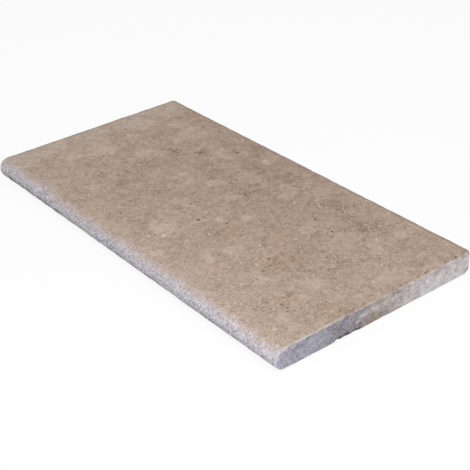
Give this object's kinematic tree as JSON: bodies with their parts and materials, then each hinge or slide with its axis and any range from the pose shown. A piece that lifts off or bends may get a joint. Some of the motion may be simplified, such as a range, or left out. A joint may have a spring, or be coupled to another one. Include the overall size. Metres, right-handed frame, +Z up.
{
  "type": "pool coping stone",
  "caption": "Rectangular slab of tumbled limestone with a full bullnose along one long edge, to cap the rim of a swimming pool.",
  "frame": {"origin": "middle of the bed, the underside that lies in the mortar", "axes": "+X along the pool's edge, -Y out over the water with the bullnose, +Z up"},
  "size_m": [0.61, 0.305, 0.03],
  "materials": {
    "limestone": "matte"
  },
  "bodies": {
    "root": {"coping_stone": "limestone"}
  },
  "joints": []
}
